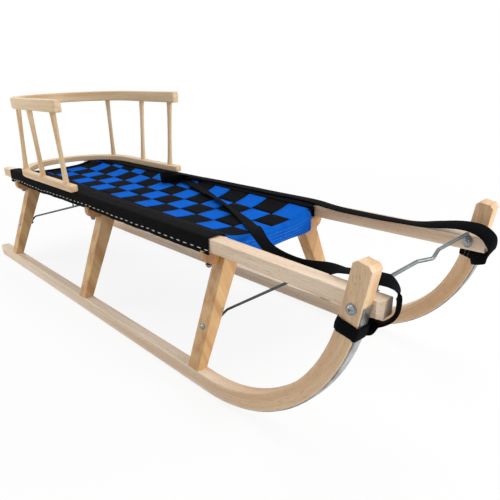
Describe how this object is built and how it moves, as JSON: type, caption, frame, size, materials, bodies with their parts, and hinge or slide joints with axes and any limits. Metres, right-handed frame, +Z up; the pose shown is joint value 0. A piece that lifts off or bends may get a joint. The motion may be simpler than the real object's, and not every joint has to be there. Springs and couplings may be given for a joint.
{
  "type": "wooden sled",
  "caption": "Wooden sled with two bent horned runners on steel strips, lapped trestles, side rails, a woven webbing seat, a bowed backrest on spindles and a pull strap.",
  "frame": {"origin": "on the ground under the middle of the side rails, halfway between the runners", "axes": "+X the way it travels, +Y its left, +Z up"},
  "size_m": [1.1968, 0.3568, 0.42],
  "materials": {
    "beech": "clear satin varnish",
    "strip_steel": "bare steel strip",
    "dark_steel": "dark satin",
    "zinc_steel": "zinc plated",
    "black_fabric": "matt woven",
    "woven_webbing": "matt woven, blue and black checks",
    "black_strap": "matt woven"
  },
  "bodies": {
    "root": {"runner_right": "beech", "runner_left": "beech", "runner_strip_right": "strip_steel", "runner_strip_left": "strip_steel", "rail_right": "beech", "rail_left": "beech", "crossbeam_front": "beech", "leg_front_right": "beech", "leg_front_left": "beech", "crossbeam_middle": "beech", "leg_middle_right": "beech", "leg_middle_left": "beech", "crossbeam_rear": "beech", "leg_rear_right": "beech", "leg_rear_left": "beech", "brace_front_right": "dark_steel", "brace_rear_right": "dark_steel", "brace_rear_left": "dark_steel", "front_tie_rod": "zinc_steel", "backrest_lower_rail": "beech", "backrest_top_rail": "beech", "backrest_spindle_front_right": "beech", "backrest_spindle_front_left": "beech", "backrest_spindle_middle_right": "beech", "backrest_spindle_middle_left": "beech", "backrest_spindle_rear_right": "beech", "backrest_spindle_rear_left": "beech", "seat_sleeve_right": "black_fabric", "seat_sleeve_left": "black_fabric", "seat_webbing": "woven_webbing", "strap_band_right": "black_strap", "strap_band_left": "black_strap", "pull_strap": "black_strap"}
  },
  "joints": []
}
